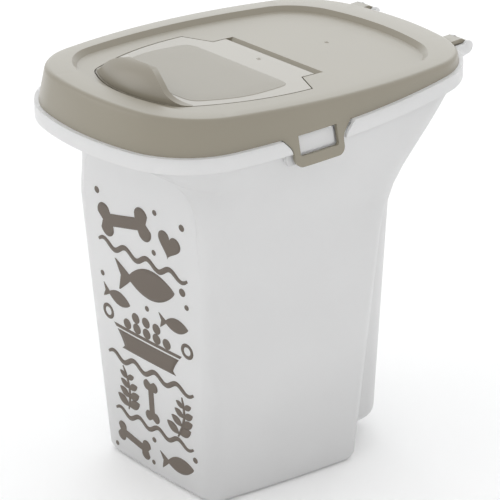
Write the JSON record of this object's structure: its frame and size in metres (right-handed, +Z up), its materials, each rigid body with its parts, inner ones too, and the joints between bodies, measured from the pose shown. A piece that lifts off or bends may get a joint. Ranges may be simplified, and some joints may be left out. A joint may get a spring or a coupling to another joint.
{
  "type": "pet food storage container",
  "caption": "Upright translucent keeper for dry pet food with a hinged oval lid, side latch loops and a pouring flap with a curled thumb lip.",
  "frame": {"origin": "middle of the base face that the container stands on", "axes": "+Z up, -Y towards the pouring end with the thumb lip, +Y towards the lid hinges, +X to the right seen from the pouring end"},
  "size_m": [0.1782, 0.2713, 0.2757],
  "materials": {
    "frosted_tub": "frosted translucent polypropylene",
    "taupe_lid": "satin with a soft gloss",
    "taupe_flap": "satin border round a matte panel"
  },
  "bodies": {
    "tub": {"tub": "frosted_tub"},
    "lid": {"lid": "taupe_lid"},
    "flap": {"flap": "taupe_flap"},
    "loop_left": {"latch_loop_left": "taupe_lid"},
    "loop_right": {"latch_loop_right": "taupe_lid"}
  },
  "joints": [
    {"name": "lid_hinge", "type": "hinge", "parent": "tub", "child": "lid", "pos_m": [0, 0.1605, 0.2395], "axis": [-1, 0, 0], "range_deg": [0, 105]},
    {"name": "flap_hinge", "type": "hinge", "parent": "lid", "child": "flap", "pos_m": [0, 0.03162, 0.25032], "axis": [-1, 0, 0], "range_deg": [0, 100]},
    {"name": "loop_left_flex", "type": "hinge", "parent": "lid", "child": "loop_left", "pos_m": [-0.0855, -0.003, 0.2425], "axis": [0, 1, 0], "range_deg": [0, 15], "stiffness_Nm_per_rad": 0.01},
    {"name": "loop_right_flex", "type": "hinge", "parent": "lid", "child": "loop_right", "pos_m": [0.0855, -0.003, 0.2425], "axis": [0, -1, 0], "range_deg": [0, 15], "stiffness_Nm_per_rad": 0.01}
  ]
}
